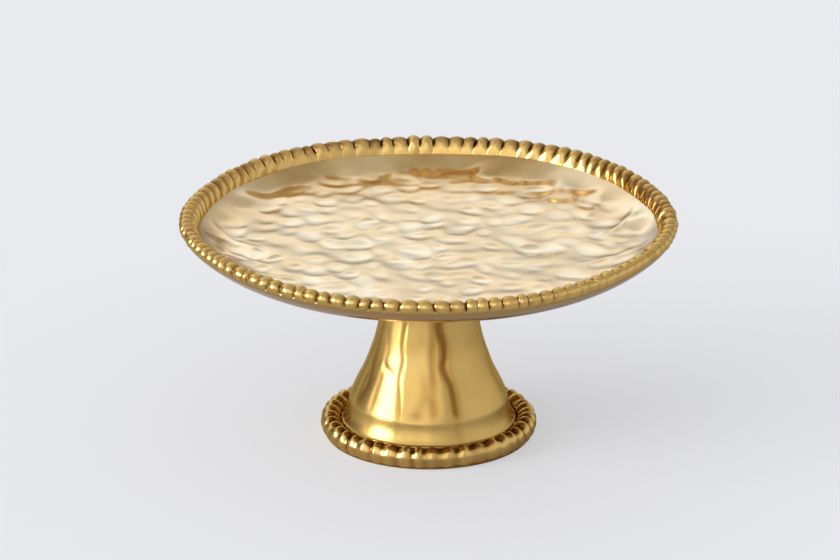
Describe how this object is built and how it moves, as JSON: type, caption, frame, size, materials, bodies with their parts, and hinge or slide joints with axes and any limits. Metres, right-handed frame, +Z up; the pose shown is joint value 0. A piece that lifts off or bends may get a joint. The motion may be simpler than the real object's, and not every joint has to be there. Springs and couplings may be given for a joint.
{
  "type": "cake stand",
  "caption": "Round footed cake stand: shallow hammered plate with a beaded, slightly wavy rim, on a hollow flared pedestal with a beaded foot ring.",
  "frame": {"origin": "centre of the bounding box on the floor, which is the pedestal's axis at the foot ring's standing face", "axes": "+Z up along the pedestal's axis; -Y is the side that faces the viewer; the stand has no front of its own"},
  "size_m": [0.2778, 0.2746, 0.13],
  "materials": {
    "gold_plate": "satin metallic gold over glazed porcelain",
    "gold_beads": "glossy metallic gold over glazed porcelain",
    "gold_pedestal": "satin metallic gold over glazed porcelain",
    "gold_foot": "metallic gold, bare porcelain where it stands",
    "slip": "matt fired slip"
  },
  "bodies": {
    "root": {"plate": "gold_plate", "rim_beads": "gold_beads", "pedestal": "gold_pedestal", "foot_ring": "gold_foot", "foot_beads": "gold_beads", "plate_seam": "slip", "foot_seam": "slip"}
  },
  "joints": []
}
